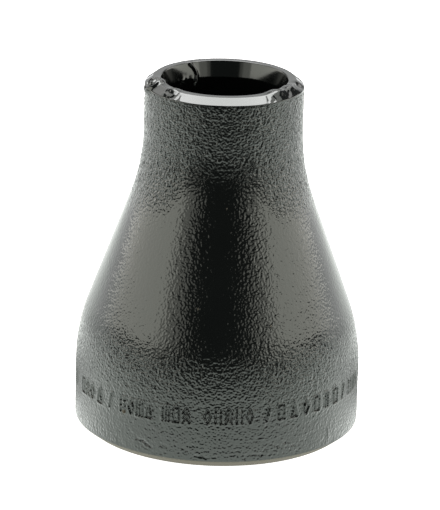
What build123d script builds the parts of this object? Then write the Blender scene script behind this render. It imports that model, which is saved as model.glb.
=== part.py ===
from build123d import *
from math import acos, atan2, cos, degrees, hypot, radians, sin, tan
import os

# Concentric butt-weld reducer, NPS 2 x 1, standard wall, forged in one piece from seamless pipe.
# Millimetres. The origin is the centre of the large end's root face and +Z runs along the axis
# to the small end. Bearings on the skirt are counted from -Y, positive towards +X.

LENGTH = 76.0
LARGE_RADIUS = 60.3 / 2
LARGE_WALL = 3.91
SMALL_RADIUS = 33.4 / 2
SMALL_WALL = 3.38

# Weld preparation at both ends: a flat root face, an outside bevel measured from the end's plane,
# and an inside taper that opens the thicker forged wall out to the pipe's own wall.
ROOT_FACE = 1.6
BEVEL_ANGLE = 37.5
TAPER_DEPTH = 3.4
TAPER_ANGLE = 14

# The S between the two straight ends: an outward shoulder, a straight cone and an inward neck.
LARGE_STRAIGHT = 13.8
SMALL_STRAIGHT = 11.1
SHOULDER_RADIUS = 39.3
NECK_RADIUS = 42.8

# Die-stamped row round the skirt: plain signs in a cell of this size, cut this deep.
SIGN_WIDTH = 1.4
SIGN_HEIGHT = 3.0
STROKE = 0.42
STAMP_DEPTH = 0.3
ROW_HEIGHT = 11.8
ROW_CLIMB = 0.01

# Bearing of each group's first sign, the step in degrees from sign to sign, and its signs.
SIGN_GROUPS = [
    (-108, 5.2, ["diamond", "bars", "box", "studs"]),
    (-79, 4.2, ["pair"]),
    (-68, 4.2, ["box", "arrows", "diamond"]),
    (-54, 4.2, ["triangle"]),
    (-47, 4.2, ["slash"]),
    (-40, 4.2, ["studs", "diamond", "bars", "triangle"]),
    (-20, 4.2, ["bars", "box", "arrows"]),
    (-3.2, 4.2, ["diamond", "studs", "arrows", "studs", "diamond"]),
    (21, 5.8, ["slash", "box", "triangle", "diamond", "box", "pair", "box", "slash"]),
    (68, 4.2, ["studs", "bars", "diamond"]),
    (92, 4.2, ["pair", "triangle", "box"]),
]


def cone_angle(reach_sum, centre_step):
    """Slope in radians of the cone that touches both arcs, from their centres' offset."""
    span = hypot(centre_step.X, centre_step.Y)
    return atan2(centre_step.Y, centre_step.X) - acos(reach_sum / span)


def wall_line(large_inset, small_inset):
    """The S at a depth inside the outer surface, drawn upwards from the large end's straight."""
    shoulder_centre = Vector(LARGE_RADIUS - SHOULDER_RADIUS, LARGE_STRAIGHT)
    neck_centre = Vector(SMALL_RADIUS + NECK_RADIUS, LENGTH - SMALL_STRAIGHT)
    shoulder = SHOULDER_RADIUS - large_inset
    neck = NECK_RADIUS + small_inset
    slope = degrees(cone_angle(shoulder + neck, neck_centre - shoulder_centre))
    outward_arc = CenterArc(shoulder_centre, shoulder, 0, slope)
    inward_arc = CenterArc(neck_centre, neck, 180 + slope, -slope)
    cone = Line(outward_arc @ 1, inward_arc @ 0)
    return outward_arc, cone, inward_arc


def end_line(outside, inside, radius, wall, face, inward):
    """One prepared end, from the outer straight round to the bore. inward is +1 or -1 along Z."""
    bevel = wall - ROOT_FACE
    rise = bevel * tan(radians(BEVEL_ANGLE))
    taper = TAPER_DEPTH * tan(radians(TAPER_ANGLE))
    return Polyline(
        outside,
        (radius, face + inward * rise),
        (radius - bevel, face),
        (radius - wall, face),
        (radius - wall - taper, face + inward * TAPER_DEPTH),
        inside,
    )


def body_section():
    """Half section of the wall, on the plane through the axis."""
    taper = TAPER_DEPTH * tan(radians(TAPER_ANGLE))
    with BuildSketch(Plane.XZ) as section:
        with BuildLine():
            outside = wall_line(0, 0)
            inside = wall_line(LARGE_WALL + taper, SMALL_WALL + taper)
            end_line(outside[0] @ 0, inside[0] @ 0, LARGE_RADIUS, LARGE_WALL, 0, 1)
            end_line(outside[2] @ 1, inside[2] @ 1, SMALL_RADIUS, SMALL_WALL, LENGTH, -1)
        make_face()
    return section.sketch


def sign_strokes(kind):
    """End points of a sign's strokes, as fractions of the half width and half height."""
    if kind == "bars":
        return [((x, -1), (x, 1)) for x in (-1, 0, 1)]
    if kind == "pair":
        return [((x, -1), (x, 1)) for x in (-0.5, 0.5)]
    if kind == "slash":
        return [((-0.5, -1), (0.5, 1))]
    if kind == "studs":
        return [((x, y), (x, y + 0.4)) for x in (-0.8, 0.8) for y in (-1, -0.2, 0.6)]
    if kind == "arrows":
        return [((side, y), (0, y + 0.8)) for side in (-1, 1) for y in (-1, -0.3, 0.4)]
    corners = {
        "box": [(-0.9, -1), (0.9, -1), (0.9, 1), (-0.9, 1)],
        "diamond": [(0, -1), (1, 0), (0, 1), (-1, 0)],
        "triangle": [(-1, -1), (1, -1), (0, 1)],
    }[kind]
    return list(zip(corners, corners[1:] + corners[:1]))


def sign_punch(kind, bearing):
    """Cutter that sinks one sign radially into the skirt."""
    turn = radians(bearing)
    height = ROW_HEIGHT + ROW_CLIMB * bearing
    outward = Vector(sin(turn), -cos(turn), 0)
    face = outward * (LARGE_RADIUS - STAMP_DEPTH) + Vector(0, 0, height)
    plane = Plane(origin=face, x_dir=(cos(turn), sin(turn), 0), z_dir=outward)
    with BuildPart() as punch:
        with BuildSketch(plane):
            for ends in sign_strokes(kind):
                start, end = [(x * SIGN_WIDTH / 2, y * SIGN_HEIGHT / 2) for x, y in ends]
                centre = (Vector(*start) + Vector(*end)) / 2
                run = Vector(*end) - Vector(*start)
                heading = degrees(atan2(run.Y, run.X))
                with Locations(Location(centre, heading)):
                    SlotCenterToCenter(run.length, STROKE)
        extrude(amount=1)
    return punch.part


def stamped_row():
    """All the cutters of the stamped row."""
    punches = []
    for first, pitch, kinds in SIGN_GROUPS:
        for place, kind in enumerate(kinds):
            punches.append(sign_punch(kind, first + place * pitch))
    return punches


def reducer_body():
    """The forged wall, with the stamped row cut into it."""
    body = revolve(body_section(), Axis.Z)
    return body - stamped_row()


os.makedirs("parts", exist_ok=True)
export_step(reducer_body(), "parts/reducer_body.step")
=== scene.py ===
import math

import bpy
import numpy as np
from mathutils import Matrix, Vector, noise


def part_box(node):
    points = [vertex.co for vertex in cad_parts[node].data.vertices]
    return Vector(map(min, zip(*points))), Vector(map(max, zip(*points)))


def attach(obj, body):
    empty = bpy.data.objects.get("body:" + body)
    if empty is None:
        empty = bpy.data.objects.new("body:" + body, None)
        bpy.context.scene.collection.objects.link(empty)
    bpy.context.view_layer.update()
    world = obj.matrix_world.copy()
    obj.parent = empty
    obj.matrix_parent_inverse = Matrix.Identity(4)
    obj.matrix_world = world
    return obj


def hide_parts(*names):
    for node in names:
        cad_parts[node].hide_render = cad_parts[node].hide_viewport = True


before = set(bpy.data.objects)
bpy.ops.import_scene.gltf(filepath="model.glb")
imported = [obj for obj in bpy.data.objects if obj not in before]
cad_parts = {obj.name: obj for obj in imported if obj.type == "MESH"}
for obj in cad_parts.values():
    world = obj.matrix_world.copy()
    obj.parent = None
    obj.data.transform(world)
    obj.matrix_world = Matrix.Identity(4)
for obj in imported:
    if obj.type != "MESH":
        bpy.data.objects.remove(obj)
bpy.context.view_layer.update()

# Concentric reducer in gloss black varnish on a pale table. Lengths of the object are in
# millimetres until its mesh is made; the camera, lights and floor are in metres.
MM = 0.001

# The CAD node gives the height and the large end; these repeat the rest of its section.
LOW, HIGH = (np.array(corner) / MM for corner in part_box("reducer_body"))
LENGTH = HIGH[2]
LARGE_RADIUS = (HIGH[0] - LOW[0]) / 2
LARGE_WALL = 3.91
SMALL_RADIUS = 16.7
SMALL_WALL = 3.38
LARGE_STRAIGHT = 13.8
SMALL_STRAIGHT = 11.1
SHOULDER_RADIUS = 39.3
NECK_RADIUS = 42.8
ROOT_FACE = 1.6
BEVEL_ANGLE = math.radians(37.5)
TAPER_DEPTH = 3.4
TAPER_ANGLE = math.radians(14)
BEVEL_HEIGHTS = [(wall - ROOT_FACE) * math.tan(BEVEL_ANGLE) for wall in (LARGE_WALL, SMALL_WALL)]

# Mesh: columns round the axis, steps between rings, how round the corners are, and the step of the
# fine line that the rings are placed on.
COLUMNS = 1400
OUTSIDE_STEP = 0.2
STAMPED_STEP = 0.12
BORE_STEP = 0.8
EDGE_STEP = 0.1
EDGE_ROUND = 0.25
SECTION_STEP = 0.02

# Layers of noise in the surface: size of a bump, rise and seed.
SWELL = [(14, 0.05, 3.0), (4.0, 0.02, 11.0)]
GRAIN = [(1.2, 0.02, 21.0), (0.55, 0.09, 37.0)]
WRINKLE_SIZE = 0.9
WRINKLE_SEED = 61.0
PIT_SIZE = 0.8
PIT_STRETCH = 2.2
PIT_DEPTH = 0.16
PIT_SEED = 53.0

# Stamped row: cell size, V groove (deeper than the CAD's flat one) and raised lip of each stroke.
SIGN_WIDTH = 1.4
SIGN_HEIGHT = 3.0
STROKE = 0.42
GROOVE_DEPTH = 0.5
LIP_HEIGHT = 0.10
LIP_WIDTH = 0.13
ROW_HEIGHT = 11.8
ROW_CLIMB = 0.01
SIGN_GROUPS = [
    (-108, 5.2, ["diamond", "bars", "box", "studs"]),
    (-79, 4.2, ["pair"]),
    (-68, 4.2, ["box", "arrows", "diamond"]),
    (-54, 4.2, ["triangle"]),
    (-47, 4.2, ["slash"]),
    (-40, 4.2, ["studs", "diamond", "bars", "triangle"]),
    (-20, 4.2, ["bars", "box", "arrows"]),
    (-3.2, 4.2, ["diamond", "studs", "arrows", "studs", "diamond"]),
    (21, 5.8, ["slash", "box", "triangle", "diamond", "box", "pair", "box", "slash"]),
    (68, 4.2, ["studs", "bars", "diamond"]),
    (92, 4.2, ["pair", "triangle", "box"]),
]

# Lumps, dents and ring-shaped ridges of the varnish: bearing, radius, height, radius of the ring
# (0 for a lump or dent), size and rise.
DROPS = [
    (-72, 15.3, 75.3, 0.0, 2.4, 0.40),
    (-72, 15.3, 75.3, 1.7, 0.45, 0.50),
    (-74, 15.2, 75.4, 0.6, 0.30, 0.25),
    (-45, 14.7, 76.1, 0.0, 1.3, 0.35),
    (47, 14.7, 76.1, 0.0, 1.9, 0.60),
    (66, 14.7, 76.1, 0.0, 1.6, 0.35),
    (81, 15.5, 75.4, 0.0, 0.9, -0.25),
    (88, 15.9, 75.0, 0.0, 1.2, 0.12),
    (-150, 12.5, 71.9, 0.0, 0.5, 0.35),
]

# Straight marks on the skirt: bearing and height of both ends, width and rise.
MARKS = [
    (-33.0, 4.7, -29.8, 4.6, 0.22, -0.15),
    (-29.8, 4.6, -26.2, 3.6, 0.22, -0.18),
    (-31.8, 3.9, -29.6, 3.4, 0.20, -0.12),
    (51.3, 5.3, 51.8, 3.4, 0.30, 0.16),
    (-8.0, 2.9, -3.0, 2.6, 0.22, -0.15),
    (14.0, 3.3, 17.5, 3.0, 0.22, -0.15),
]

# The varnish run in the bore: bearing and height of its points, width and rise.
RUN = [(-145.5, 75.8), (-148.5, 75.2), (-151.0, 74.2), (-152.0, 73.3), (-151.0, 72.2)]
RUN_WIDTH = 0.32
RUN_RISE = 0.4

# Patches of curdled varnish: outside or in the bore, bearing, height, reach of both and rise.
CURDLED = [
    (-1, -133, 71.9, 9.0, 1.0, 0.26),
    (1, -43, 75.0, 7.0, 1.2, 0.20),
    (1, 39, 75.0, 6.0, 1.2, 0.10),
    (1, 60, 75.3, 14.0, 1.5, 0.05),
]

# The table: half its side in metres, the tint of its painted glow, and how bright the varnish sees it
# at each
# distance behind the axis: painted light, a glow brightest beside the object and fading away from it.
# A painted shadow, a dimmer oval, lies under and behind the object: its half width and half depth, how
# far behind the axis its centre is, and the brightness in its middle and outside it.
TABLE_HALF = 0.42
PAINTED_GLOW_TINT = np.array([0.965, 1.0, 0.965])
PAINTED_TABLE_GLOW = [
    (-0.27, 0.08),
    (-0.20, 0.24),
    (-0.14, 0.36),
    (-0.07, 0.82),
    (-0.02, 1.00),
    (0.03, 0.90),
    (0.08, 0.52),
    (0.12, 0.52),
    (0.20, 0.65),
    (0.42, 0.60),
]
PAINTED_SHADOW_ACROSS = 0.085
PAINTED_SHADOW_DEEP = 0.04
PAINTED_SHADOW_BEHIND = 0.027
PAINTED_SHADOW_GLOW = 0.7
PAINTED_OPEN_GLOW = 3.1

# Specks without varnish: bearing, height and size.
SPECKS = [
    (-39.5, 9.8, 0.45),
    (3.6, 53.2, 0.2),
    (-9.5, 33.5, 0.2),
    (24.0, 30.0, 0.2),
    (-20.0, 38.0, 0.15),
]

# Lights are this colour or a slightly tinted one. Each side's nested panels: bearing, width and
# radiance.
WHITE = (1, 1, 1)
SIDE_PANELS = [(76, 1.12, 0.8), (80, 1.04, 0.8), (92, 0.92, 2.1)]

# The camera: lens on a 36 mm sensor, angles in degrees, place in metres.
LENS = 282.6
TILT_DOWN = 18.6
ROLL = 1.53
CAMERA_PLACE = (0, -0.803, 0.3072)


# ---------------------------------------------------------------- section


def arc(centre, radius, start, end):
    """Points along an arc, from start to end in radians."""
    turn = np.linspace(start, end, 400)
    return np.column_stack([centre[0] + radius * np.cos(turn), centre[1] + radius * np.sin(turn)])


def wall_line(large_inset, small_inset):
    """The S between the straight ends at a depth inside the outer surface, drawn upwards."""
    shoulder_centre = np.array([LARGE_RADIUS - SHOULDER_RADIUS, LARGE_STRAIGHT])
    neck_centre = np.array([SMALL_RADIUS + NECK_RADIUS, LENGTH - SMALL_STRAIGHT])
    shoulder = SHOULDER_RADIUS - large_inset
    neck = NECK_RADIUS + small_inset
    across, up = neck_centre - shoulder_centre
    slope = math.atan2(up, across) - math.acos((shoulder + neck) / math.hypot(across, up))
    outward_arc = arc(shoulder_centre, shoulder, 0, slope)
    inward_arc = arc(neck_centre, neck, math.pi + slope, math.pi)
    return np.vstack([outward_arc, inward_arc])


def rounded(before, corner, after):
    """Points of the small arc that softens a corner between two straight runs."""
    towards = [(p - corner) / np.linalg.norm(p - corner) for p in (before, after)]
    half = math.acos(np.clip(towards[0] @ towards[1], -1, 1)) / 2
    reach = EDGE_ROUND / math.tan(half)
    middle = towards[0] + towards[1]
    centre = corner + middle / np.linalg.norm(middle) * EDGE_ROUND / math.sin(half)
    ends = [corner + t * reach - centre for t in towards]
    blends = np.linspace(0, 1, 9)[:, None]
    chord = ends[0] * (1 - blends) + ends[1] * blends
    return centre + chord / np.linalg.norm(chord, axis=1)[:, None] * EDGE_ROUND


def prepared_end(outside, inside, radius, wall, face, inward):
    """One weld end, from the outer straight round to the bore, with softened corners."""
    bevel = wall - ROOT_FACE
    taper = TAPER_DEPTH * math.tan(TAPER_ANGLE)
    corners = [
        outside,
        (radius, face + inward * bevel * math.tan(BEVEL_ANGLE)),
        (radius - bevel, face),
        (radius - wall, face),
        (radius - wall - taper, face + inward * TAPER_DEPTH),
        inside,
    ]
    corners = [np.array(c, float) for c in corners]
    return np.vstack([rounded(*corners[i - 1:i + 2]) for i in range(1, len(corners) - 1)])


def section_loop():
    """The wall's closed section as fine points: up the outside, then down the bore."""
    taper = TAPER_DEPTH * math.tan(TAPER_ANGLE)
    outside = wall_line(0, 0)
    inside = wall_line(LARGE_WALL + taper, SMALL_WALL + taper)
    top = prepared_end(outside[-1], inside[-1], SMALL_RADIUS, SMALL_WALL, LENGTH, -1)
    bottom = prepared_end(outside[0], inside[0], LARGE_RADIUS, LARGE_WALL, 0, 1)
    corners = np.vstack([outside, top, inside[::-1], bottom[::-1]])
    nexts = np.roll(corners, -1, axis=0)
    pieces = []
    for start, end in zip(corners, nexts):
        count = max(1, round(np.linalg.norm(end - start) / SECTION_STEP))
        pieces.append(start + (end - start) * np.linspace(0, 1, count, endpoint=False)[:, None])
    return np.vstack(pieces)


def ring_stations():
    """Radius, height and outward normal of each mesh ring round the section."""
    line = section_loop()
    run = np.roll(line, -1, axis=0) - np.roll(line, 1, axis=0)
    run /= np.linalg.norm(run, axis=1)[:, None]
    normal = np.column_stack([run[:, 1], -run[:, 0]])
    sharp = np.linalg.norm(np.roll(normal, -6, axis=0) - np.roll(normal, 6, axis=0), axis=1)
    facing_out = normal[:, 0] > 0.3
    step = np.where(facing_out, OUTSIDE_STEP, BORE_STEP)
    at_row = facing_out & (abs(line[:, 1] - ROW_HEIGHT) < 3.2)
    step = np.where(at_row, STAMPED_STEP, step)
    at_end = (line[:, 1] < TAPER_DEPTH + 1) | (line[:, 1] > LENGTH - TAPER_DEPTH - 1)
    step = np.where(at_end, np.minimum(step, OUTSIDE_STEP), step)
    step = np.where(sharp > 0.05, EDGE_STEP, step)
    lengths = np.linalg.norm(np.roll(line, -1, axis=0) - line, axis=1)
    shares = np.concatenate([[0], np.cumsum(lengths / step)])
    count = round(shares[-1])
    wanted = np.arange(count) * shares[-1] / count
    source = np.arange(len(line) + 1)
    place = np.interp(wanted, shares, source)
    closed = np.vstack([np.column_stack([line, normal])] * 2)
    values = [np.interp(place, np.arange(len(closed)), closed[:, i]) for i in range(4)]
    return np.column_stack(values)


# ---------------------------------------------------------------- relief


def smooth_step(low, high, value):
    """0 below low, 1 above high, smooth between."""
    t = np.clip((value - low) / (high - low), 0, 1)
    return t * t * (3 - 2 * t)


def noise_at(places, size, seed):
    """Noise of about one bump per size, in millimetres, at each place."""
    shift = Vector((seed, seed * 1.7, -seed * 0.6))
    scaled = places / size
    return np.array([noise.noise(Vector(p) + shift, noise_basis="PERLIN_ORIGINAL") for p in scaled])


def layered_noise(places, layers):
    """Sum of several sizes of noise, each with its own rise."""
    return sum(rise * noise_at(places, size, seed) for size, rise, seed in layers)


def sign_strokes(kind):
    """End points of a sign's strokes, as fractions of the half width and half height."""
    if kind == "bars":
        return [((x, -1), (x, 1)) for x in (-1, 0, 1)]
    if kind == "pair":
        return [((x, -1), (x, 1)) for x in (-0.5, 0.5)]
    if kind == "slash":
        return [((-0.5, -1), (0.5, 1))]
    if kind == "studs":
        return [((x, y), (x, y + 0.4)) for x in (-0.8, 0.8) for y in (-1, -0.2, 0.6)]
    if kind == "arrows":
        return [((side, y), (0, y + 0.8)) for side in (-1, 1) for y in (-1, -0.3, 0.4)]
    corners = {
        "box": [(-0.9, -1), (0.9, -1), (0.9, 1), (-0.9, 1)],
        "diamond": [(0, -1), (1, 0), (0, 1), (-1, 0)],
        "triangle": [(-1, -1), (1, -1), (0, 1)],
    }[kind]
    return list(zip(corners, corners[1:] + corners[:1]))


def distance_to_line(points, start, end):
    """Distance from each point of a flat pattern to the line between two others."""
    run = np.subtract(end, start)
    offset = points - start
    along = np.clip(offset @ run / (run @ run), 0, 1)
    return np.linalg.norm(offset - along[:, None] * run, axis=1)


def stamped_relief(bearing, height):
    """Depth of the stamped row: V grooves with a slight lip where the metal rose."""
    half = np.array([SIGN_WIDTH, SIGN_HEIGHT]) / 2
    nearest = np.full(len(bearing), 9.0)
    for first, pitch, kinds in SIGN_GROUPS:
        for place, kind in enumerate(kinds):
            turn = first + place * pitch
            across = np.radians(bearing - turn) * LARGE_RADIUS
            up = height - ROW_HEIGHT - ROW_CLIMB * turn
            close = np.flatnonzero((abs(across) < 2.2) & (abs(up) < 2.6))
            points = np.column_stack([across, up])[close]
            for start, end in sign_strokes(kind):
                gap = distance_to_line(points, start * half, end * half)
                nearest[close] = np.minimum(nearest[close], gap)
    groove = 1 - smooth_step(STROKE * -0.3, STROKE * 0.75, nearest)
    lip = np.exp(-((nearest - STROKE) / LIP_WIDTH) ** 2)
    return LIP_HEIGHT * lip - GROOVE_DEPTH * groove


def blasted_share(bearing, height, outward):
    """How grainy the steel is: most on neck and shoulder, least on the cone, none on the ends."""
    neck = 57 - 11 * smooth_step(20, 40, abs(bearing))
    coarse = smooth_step(neck, neck + 10, height) + 0.8 * (1 - smooth_step(16, 30, height))
    coarse -= 0.35 * (1 - smooth_step(8, 17, height))
    coarse += 0.35 * np.exp(-((bearing - 8) / 32) ** 2)
    machined = BEVEL_HEIGHTS[0], LENGTH - BEVEL_HEIGHTS[1]
    unmachined = smooth_step(machined[0], machined[0] + 0.5, height)
    unmachined *= 1 - smooth_step(machined[1] - 0.5, machined[1], height)
    return (0.17 + 0.83 * np.clip(coarse, 0, 1)) * unmachined * (outward > 0)


def on_cylinder(bearing, radius, height):
    """Point in space at a bearing from the front, a radius and a height."""
    turn = np.radians(bearing)
    return np.stack([radius * np.sin(turn), -radius * np.cos(turn), height], axis=-1)


def drop_relief(places):
    """Rounded lumps, dents and rings of the varnish, mostly on the small end."""
    relief = np.zeros(len(places))
    for bearing, radius, height, ring, size, rise in DROPS:
        distance = np.linalg.norm(places - on_cylinder(bearing, radius, height), axis=1)
        relief += rise * np.exp(-((distance - ring) / size) ** 2)
    return relief


def line_relief(points, radius, start, end, width, rise):
    """A rounded ridge or scratch between two points given by bearing and height."""
    scale = np.array([math.radians(radius), 1])
    distance = distance_to_line(points * scale, start * scale, end * scale)
    return rise * np.exp(-(distance / width) ** 2)


def mark_relief(bearing, height):
    """Scratches and drips on the skirt."""
    points = np.column_stack([bearing, height])
    relief = np.zeros(len(points))
    for *ends, width, rise in MARKS:
        relief += line_relief(points, LARGE_RADIUS, ends[:2], ends[2:], width, rise)
    return relief


def run_relief(bearing, height):
    """The thick run of varnish down into the bore."""
    points = np.column_stack([bearing, height])
    radius = SMALL_RADIUS - SMALL_WALL
    ridges = [line_relief(points, radius, *ends, RUN_WIDTH, RUN_RISE) for ends in zip(RUN, RUN[1:])]
    return np.max(ridges, axis=0)


def curdled_relief(places, bearing, height, outward):
    """Varnish that dried wrinkled, fading out round the middle of each patch."""
    wrinkles = noise_at(places, WRINKLE_SIZE, WRINKLE_SEED)
    relief = np.zeros(len(places))
    for side, middle, level, across, up, rise in CURDLED:
        fade = np.exp(-((bearing - middle) / across) ** 2 - ((height - level) / up) ** 2)
        relief += rise * fade * wrinkles * (outward * side > 0)
    return relief


def pit_relief(bearing, height):
    """Shallow pits near the lower edge, longer round the pipe than up it, mostly in front."""
    across = np.radians(bearing) * LARGE_RADIUS
    flat = np.column_stack([across / PIT_STRETCH, height, np.zeros(len(height))])
    pits = smooth_step(0.18, 0.5, noise_at(flat, PIT_SIZE, PIT_SEED))
    near_edge = smooth_step(1.9, 2.6, height) * (1 - smooth_step(3.6, 6.5, height))
    return -PIT_DEPTH * pits * near_edge * np.exp(-((bearing - 10) / 45) ** 2)


def body_relief(places, bearing, height, outward):
    """Height of every vertex above the plain section, in millimetres."""
    blasted = blasted_share(bearing, height, outward)
    relief = layered_noise(places, SWELL) * (0.3 + 0.7 * smooth_step(0.0, 0.3, blasted))
    rough = np.flatnonzero(blasted > 0)
    relief[rough] += layered_noise(places[rough], GRAIN) * blasted[rough]
    relief += drop_relief(places)
    skirt = np.flatnonzero((outward > 0.9) & (height > 7) & (height < 18))
    relief[skirt] += stamped_relief(bearing[skirt], height[skirt])
    edge = np.flatnonzero((outward > 0.9) & (height < 7))
    relief[edge] += mark_relief(bearing[edge], height[edge]) + pit_relief(bearing[edge], height[edge])
    mouth = np.flatnonzero((outward < -0.6) & (height > 70))
    relief[mouth] += run_relief(bearing[mouth], height[mouth])
    end = np.flatnonzero(height > 68)
    relief[end] += curdled_relief(places[end], bearing[end], height[end], outward[end])
    return relief


def bare_share(bearing, height, outward):
    """Where there is no varnish: the lower weld bevel and a few specks."""
    share = (1 - smooth_step(1.75, 1.95, height)) * (outward > 0.3)
    for speck_bearing, speck_height, size in SPECKS:
        across = np.radians(bearing - speck_bearing) * LARGE_RADIUS
        distance = np.hypot(across, height - speck_height)
        share = np.maximum(share, (distance < size) * (outward > 0.3))
    return share


# ---------------------------------------------------------------- mesh


def reducer_mesh():
    """The whole wall as one closed skin of rings and columns."""
    stations = ring_stations()
    turn = np.linspace(-180, 180, COLUMNS, endpoint=False)
    bearing = np.tile(turn, len(stations))
    radius, height, out, up = (np.repeat(column, COLUMNS) for column in stations.T)
    plain = on_cylinder(bearing, radius, height)
    normal = on_cylinder(bearing, out, up)
    relief = body_relief(plain, bearing, height, out)
    vertices = (plain + normal * relief[:, None]) * MM
    ring = np.arange(len(stations))[:, None] * COLUMNS
    next_ring = np.roll(ring, -1, axis=0)
    column = np.arange(COLUMNS)[None, :]
    next_column = np.roll(column, -1, axis=1)
    corners = [ring + column, ring + next_column, next_ring + next_column, next_ring + column]
    faces = np.stack(corners, axis=-1).reshape(-1, 4)
    mesh = bpy.data.meshes.new("reducer_body_skin")
    mesh.from_pydata(vertices.tolist(), [], faces.tolist())
    mesh.shade_smooth()
    for name, share_at in (("blasted", blasted_share), ("bare", bare_share)):
        share = mesh.attributes.new(name, "FLOAT", "POINT")
        share.data.foreach_set("value", share_at(bearing, height, out))
    return mesh


def reducer_object():
    """The visual piece, which takes the CAD node's place."""
    body = bpy.data.objects.new("varnished_reducer_body", reducer_mesh())
    bpy.context.scene.collection.objects.link(body)
    body.data.materials.append(varnish_material())
    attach(body, "root")
    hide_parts("reducer_body")


# ---------------------------------------------------------------- materials


def add_node(tree, kind, **settings):
    """A shader node; a setting whose name is an input socket fills that socket."""
    node = tree.nodes.new(kind)
    for name, value in settings.items():
        socket = name.replace("_", " ").title()
        if socket in node.inputs:
            node.inputs[socket].default_value = value
        else:
            setattr(node, name, value)
    return node


def show_camera(tree, seen, mirrored, output):
    """Give camera rays one shader and every other ray another."""
    ray = tree.nodes.new("ShaderNodeLightPath")
    mix = tree.nodes.new("ShaderNodeMixShader")
    tree.links.new(ray.outputs["Is Camera Ray"], mix.inputs["Fac"])
    tree.links.new(mirrored, mix.inputs[1])
    tree.links.new(seen, mix.inputs[2])
    tree.links.new(mix.outputs["Shader"], output)


def add_grain_bump(tree, place, shader):
    """The finest of the blasted grain, as strong as the mesh says."""
    grain = add_node(tree, "ShaderNodeTexNoise", scale=1 / (0.45 * MM), detail=0.0)
    tree.links.new(place, grain.inputs["Vector"])
    blasted = add_node(tree, "ShaderNodeAttribute", attribute_name="blasted")
    bump = add_node(tree, "ShaderNodeBump", distance=0.2 * MM)
    tree.links.new(blasted.outputs["Fac"], bump.inputs["Strength"])
    tree.links.new(grain.outputs["Fac"], bump.inputs["Height"])
    tree.links.new(bump.outputs["Normal"], shader.inputs["Normal"])


def varnish_material():
    """Gloss black varnish over shot-blasted steel, matt and brownish where it is bare."""
    material = bpy.data.materials.new("gloss_black_varnish")
    material.use_nodes = True
    tree = material.node_tree
    shader = tree.nodes["Principled BSDF"]
    shader.inputs["IOR"].default_value = 1.5
    shader.inputs["Specular Tint"].default_value = (0.93, 1, 0.94, 1)
    place = tree.nodes.new("ShaderNodeTexCoord").outputs["Object"]

    add_grain_bump(tree, place, shader)

    patches = add_node(tree, "ShaderNodeTexNoise", scale=1 / (9 * MM), detail=3.0)
    tree.links.new(place, patches.inputs["Vector"])
    bare = add_node(tree, "ShaderNodeAttribute", attribute_name="bare")
    gloss = add_node(tree, "ShaderNodeMapRange", to_min=0.08, to_max=0.14)
    tree.links.new(patches.outputs["Fac"], gloss.inputs["Value"])
    matt = add_node(tree, "ShaderNodeMath", operation="MAXIMUM")
    tree.links.new(gloss.outputs["Result"], matt.inputs[0])
    tree.links.new(bare.outputs["Fac"], matt.inputs[1])
    tree.links.new(matt.outputs["Value"], shader.inputs["Roughness"])

    tone = tree.nodes.new("ShaderNodeValToRGB")
    tone.color_ramp.elements[0].color = (0.0009, 0.0011, 0.0010, 1)
    tone.color_ramp.elements[1].color = (0.0015, 0.0018, 0.0017, 1)
    tree.links.new(patches.outputs["Fac"], tone.inputs["Fac"])
    colour = add_node(tree, "ShaderNodeMix", data_type="RGBA")
    colour.inputs["B"].default_value = (0.048, 0.041, 0.029, 1)
    tree.links.new(bare.outputs["Fac"], colour.inputs["Factor"])
    tree.links.new(tone.outputs["Color"], colour.inputs["A"])
    tree.links.new(colour.outputs["Result"], shader.inputs["Base Color"])
    return material


def set_stops(ramp, stops):
    """Give a colour ramp these positions and colours."""
    elements = ramp.color_ramp.elements
    while len(elements) < len(stops):
        elements.new(1)
    for element, (position, colour) in zip(elements, stops):
        element.position = position
        element.color = (*colour, 1)


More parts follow.
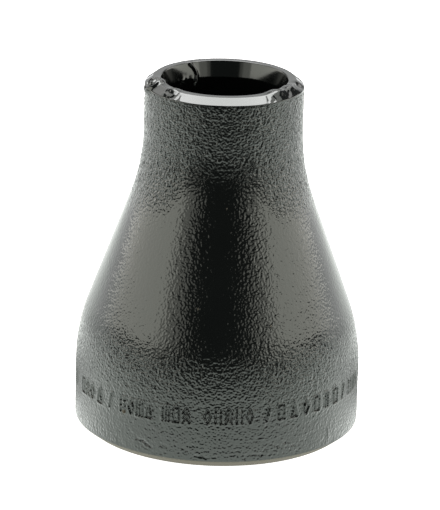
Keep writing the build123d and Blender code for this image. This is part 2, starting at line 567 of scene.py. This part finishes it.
def table_material():
    """Pale table for the camera; for every other ray it glows with painted light, graded brightest
    beside the object, with a painted shadow under and behind it.
    """
    material = bpy.data.materials.new("pale_table_painted_glow")
    material.use_nodes = True
    tree = material.node_tree
    shader = tree.nodes["Principled BSDF"]
    shader.inputs["Base Color"].default_value = (0.8, 0.8, 0.8, 1)
    shader.inputs["Roughness"].default_value = 0.6
    shader.inputs["Emission Color"].default_value = (1, 1, 1, 1)
    shader.inputs["Emission Strength"].default_value = 1.0

    # Painted light: the glow that every ray but the camera's sees on the table, graded from front to
    # back.
    mirrored = add_node(tree, "ShaderNodeEmission")
    place = add_node(tree, "ShaderNodeTexCoord")
    axes = add_node(tree, "ShaderNodeSeparateXYZ")
    tree.links.new(place.outputs["Object"], axes.inputs["Vector"])
    depth = add_node(tree, "ShaderNodeMapRange", from_min=-TABLE_HALF, from_max=TABLE_HALF)
    tree.links.new(axes.outputs["Y"], depth.inputs["Value"])
    painted_light_ramp = add_node(tree, "ShaderNodeValToRGB")
    set_stops(painted_light_ramp, [((y / TABLE_HALF + 1) / 2, glow_level * PAINTED_GLOW_TINT) for y, glow_level in PAINTED_TABLE_GLOW])
    tree.links.new(depth.outputs["Result"], painted_light_ramp.inputs["Fac"])
    tree.links.new(painted_light_ramp.outputs["Color"], mirrored.inputs["Color"])

    # Painted shadow: the table's glow dims in an oval under and behind the object.
    painted_shadow_oval = add_node(tree, "ShaderNodeMapping", scale=(1 / PAINTED_SHADOW_ACROSS, 1 / PAINTED_SHADOW_DEEP, 1))
    painted_shadow_oval.inputs["Location"].default_value = (0, -PAINTED_SHADOW_BEHIND / PAINTED_SHADOW_DEEP, 0)
    shade = add_node(tree, "ShaderNodeTexGradient", gradient_type="SPHERICAL")
    strength = add_node(tree, "ShaderNodeMapRange", from_max=0.5, to_min=PAINTED_OPEN_GLOW, to_max=PAINTED_SHADOW_GLOW)
    tree.links.new(place.outputs["Object"], painted_shadow_oval.inputs["Vector"])
    tree.links.new(painted_shadow_oval.outputs["Vector"], shade.inputs["Vector"])
    tree.links.new(shade.outputs["Fac"], strength.inputs["Value"])
    tree.links.new(strength.outputs["Result"], mirrored.inputs["Strength"])
    show_camera(tree, shader.outputs["BSDF"], mirrored.outputs["Emission"],
                tree.nodes["Material Output"].inputs["Surface"])
    return material


# ---------------------------------------------------------------- studio


def table():
    """Pale floor that the object stands on, as large as a small table."""
    mesh = bpy.data.meshes.new("table_top")
    corners = [(x * TABLE_HALF, y * TABLE_HALF, 0) for x, y in ((-1, -1), (1, -1), (1, 1), (-1, 1))]
    mesh.from_pydata(corners, [], [(0, 1, 2, 3)])
    floor = bpy.data.objects.new("table_top", mesh)
    bpy.context.scene.collection.objects.link(floor)
    mesh.materials.append(table_material())


def softbox(name, place, size, radiance, colour, aim):
    """Rectangular light facing aim, unseen by the camera; size is its width and height."""
    light = bpy.data.lights.new(name, "AREA")
    light.shape = "RECTANGLE"
    light.size, light.size_y = size
    light.color = colour
    light.energy = radiance * math.pi * size[0] * size[1]
    lamp = bpy.data.objects.new(name, light)
    lamp.location = place
    lamp.rotation_euler = (Vector(aim) - Vector(place)).to_track_quat("-Z", "Y").to_euler()
    lamp.visible_camera = False
    bpy.context.scene.collection.objects.link(lamp)


def studio_lights():
    """Two boxes overhead, nested panels and low strips at the sides, a weak panel behind."""
    softbox("overhead_core", (0, 0.035, 0.30), (0.29, 0.17), 11.5, (1, 0.955, 0.995), (0, 0.035, 0))
    softbox("overhead_wide", (0, 0.16, 0.31), (0.56, 0.42), 2.6, (1, 0.97, 0.96), (0, 0.16, 0))
    for side in (-1, 1):
        for bearing, width, radiance in SIDE_PANELS:
            place = on_cylinder(side * bearing, 0.5, 0.20)
            softbox("side_panel", place, (width, 0.26), radiance, (1, 0.955, 0.9), (0, 0, 0.20))
        place = on_cylinder(side * 132, 0.6, 0.04)
        softbox("rear_strip", place, (0.90, 0.10), 1.9, WHITE, (0, 0, 0.04))
    softbox("back_panel", on_cylinder(180, 0.7, 0.28), (0.8, 0.34), 0.9, WHITE, (0, 0, 0.28))


def studio_world():
    """White surroundings for the camera, a dark room for everything else."""
    world = bpy.data.worlds.new("studio")
    bpy.context.scene.world = world
    world.use_nodes = True
    tree = world.node_tree
    room = add_node(tree, "ShaderNodeBackground", strength=0.10)
    room.inputs["Color"].default_value = (0.93, 1.0, 0.99, 1)
    white = add_node(tree, "ShaderNodeBackground", strength=1.1)
    show_camera(tree, white.outputs["Background"], room.outputs["Background"],
                tree.nodes["World Output"].inputs["Surface"])


def photo_camera():
    """Camera in front of the object, tilted down and rolled a little, with a long lens."""
    data = bpy.data.cameras.new("camera")
    data.sensor_width = 36
    data.lens = LENS
    data.clip_start = 0.01
    data.clip_end = 50
    camera = bpy.data.objects.new("camera", data)
    tilt = Matrix.Rotation(math.radians(90 - TILT_DOWN), 4, "X")
    roll = Matrix.Rotation(math.radians(ROLL), 4, "Z")
    camera.matrix_world = Matrix.Translation(CAMERA_PLACE) @ tilt @ roll
    bpy.context.scene.collection.objects.link(camera)
    bpy.context.scene.camera = camera


bpy.context.scene.view_settings.view_transform = "Standard"
photo_camera()
studio_world()
studio_lights()
table()
reducer_object()
